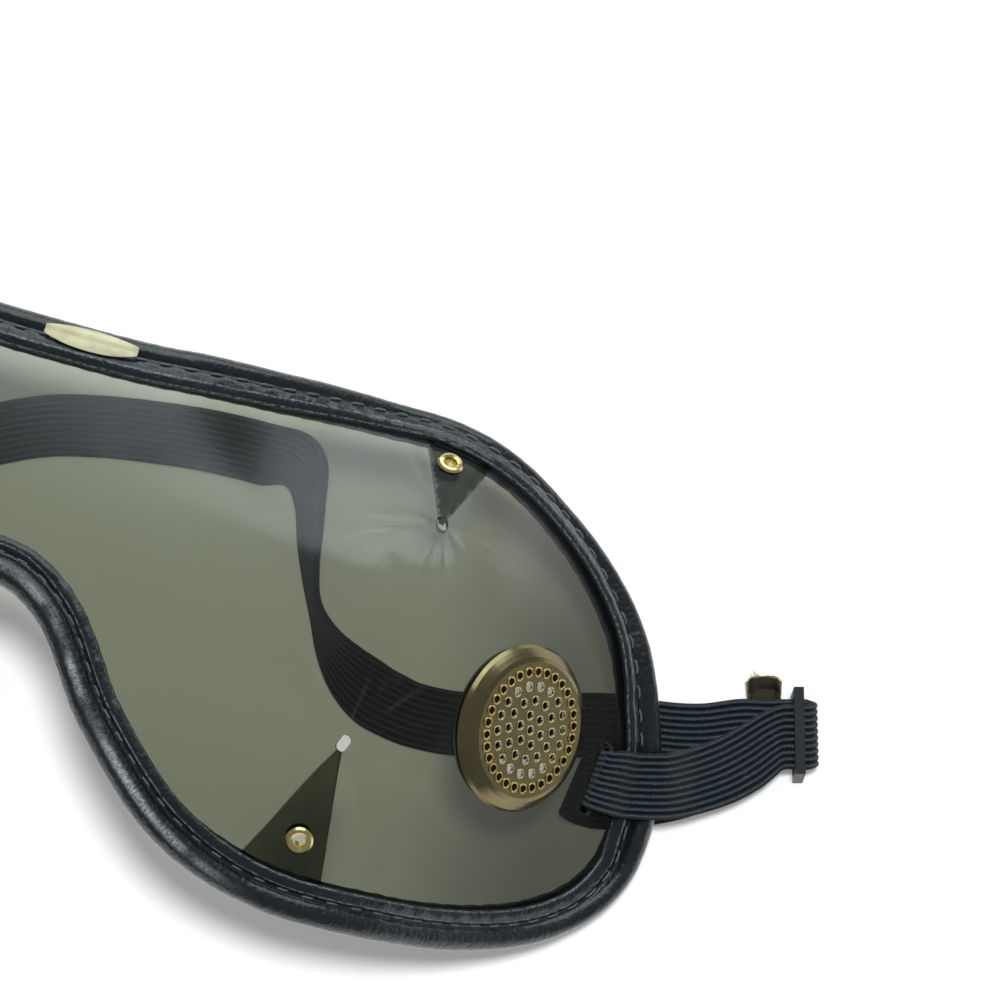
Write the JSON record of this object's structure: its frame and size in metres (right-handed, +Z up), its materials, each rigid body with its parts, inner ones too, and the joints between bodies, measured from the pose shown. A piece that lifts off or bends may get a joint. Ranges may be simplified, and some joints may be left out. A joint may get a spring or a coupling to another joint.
{
  "type": "goggles",
  "caption": "Wrap-around goggles with a tinted one-piece flexible lens, padded leatherette rim, perforated brass vents and an elastic head strap with sliders, lying lens up.",
  "frame": {"origin": "bottom centre of the whole object's box, on the table the goggles lie on", "axes": "+X towards the wearer's left, +Y towards the brow, +Z up, the way the lens's front faces"},
  "size_m": [0.2424, 0.0797, 0.0459],
  "materials": {
    "tinted_sheet": "smoke-tinted clear flexible sheet, glossy with faint scratches",
    "leatherette": "glossy blue-black leatherette with fine grain and cross wrinkles",
    "foam": "soft open foam, hidden inside the rim",
    "thread": "black sewing thread",
    "foil": "pale gold foil, left blank",
    "brass": "thin pressed brass, polished, a little darkened",
    "elastic": "ribbed woven elastic, navy black with light flecks",
    "black_plastic": "moulded, matte black"
  },
  "bodies": {
    "goggles": {"lens": "tinted_sheet", "edge_binding": "leatherette", "foam_core": "foam", "binding_stitches": "thread", "foil_label": "foil", "vent_cap_left": "brass", "vent_cap_right": "brass", "vent_ring_left": "brass", "vent_ring_right": "brass", "upper_eyelet_left": "brass", "upper_eyelet_right": "brass", "lower_eyelet_left": "brass", "lower_eyelet_right": "brass", "strap_tail_left": "elastic", "strap_tail_right": "elastic", "strap_front_left": "elastic", "strap_front_right": "elastic", "strap_run_left": "elastic", "strap_run_right": "elastic", "strap_turn": "elastic", "strap_middle": "elastic", "end_ferrule_left": "brass", "end_ferrule_right": "brass"},
    "slider_left": {"strap_slider_left": "black_plastic"},
    "slider_right": {"strap_slider_right": "black_plastic"}
  },
  "joints": [
    {"name": "left_slider_travel", "type": "slide", "parent": "goggles", "child": "slider_left", "axis": [0.9613, 0.2756, 0], "range_m": [-0.0012, 0.0008]},
    {"name": "right_slider_travel", "type": "slide", "parent": "goggles", "child": "slider_right", "axis": [-0.9613, 0.2756, 0], "range_m": [-0.0012, 0.0008]}
  ]
}
